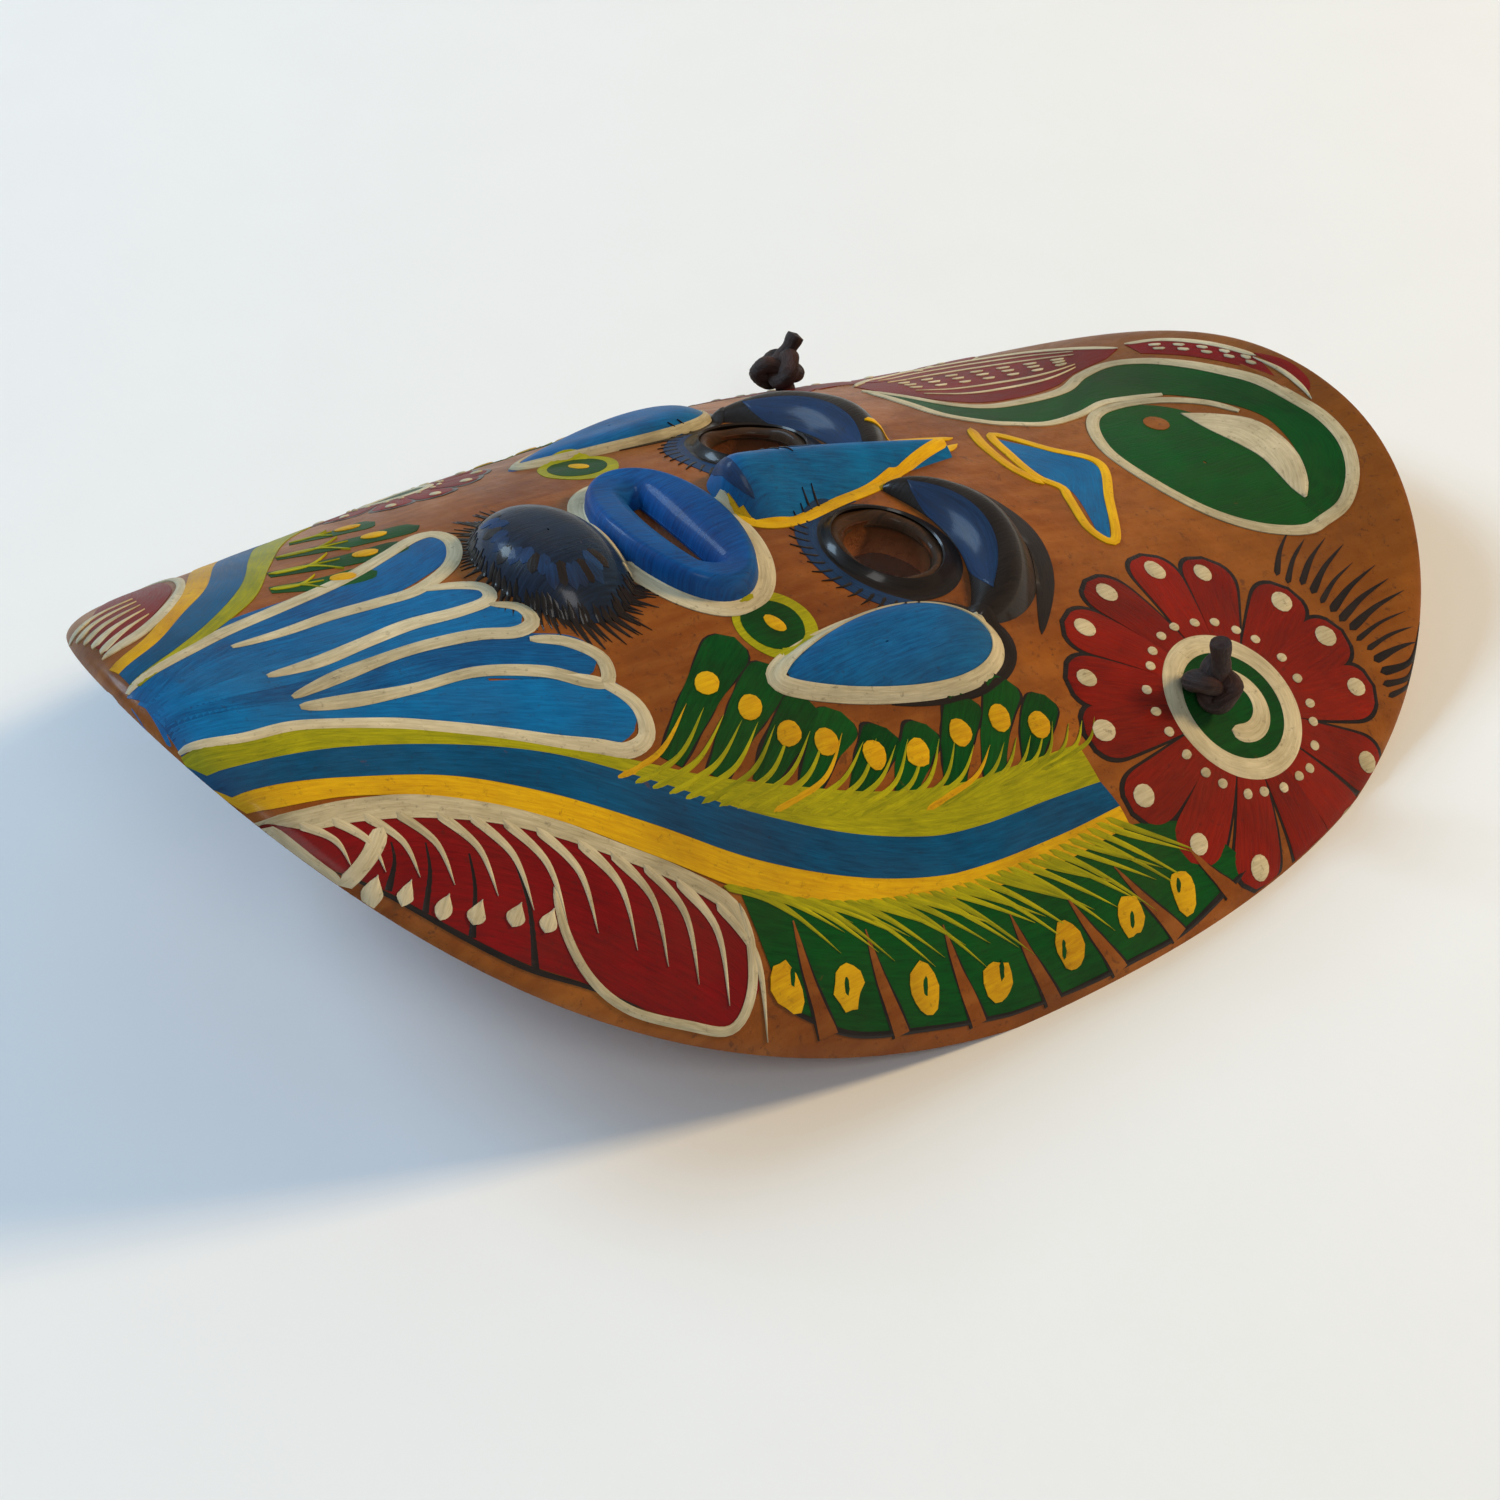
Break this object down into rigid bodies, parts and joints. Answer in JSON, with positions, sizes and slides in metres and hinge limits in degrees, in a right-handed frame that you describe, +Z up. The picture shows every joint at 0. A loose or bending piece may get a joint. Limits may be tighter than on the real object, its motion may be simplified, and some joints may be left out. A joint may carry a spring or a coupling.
{
  "type": "painted clay face mask",
  "caption": "Painted terracotta wall mask with applied clay features, open eyes and mouth, and a knotted leather hanging thong.",
  "frame": {"origin": "centre of the bounding box, at the surface that the mask rests on, face up", "axes": "+X from the chin to the forehead, +Y to the far side of the face, +Z up out of the face"},
  "size_m": [0.23, 0.1612, 0.0631],
  "materials": {
    "clay": "satin",
    "blue_paint": "satin",
    "black_paint": "satin",
    "leather": "matte"
  },
  "bodies": {
    "face": {"clay_shell": "clay", "nose": "blue_paint", "lips": "blue_paint", "chin_tuft": "black_paint", "brow_near": "black_paint", "brow_far": "black_paint", "cheek_near": "blue_paint", "cheek_far": "blue_paint", "eyelid_near": "black_paint", "eyelid_far": "black_paint", "knot_near": "leather", "knot_far": "leather"},
    "thong_loop": {"thong": "leather"}
  },
  "joints": [
    {"name": "thong_swing", "type": "hinge", "parent": "face", "child": "thong_loop", "pos_m": [0.042, 0, 0.0124], "axis": [0, -1, 0], "range_deg": [0, 152]}
  ]
}
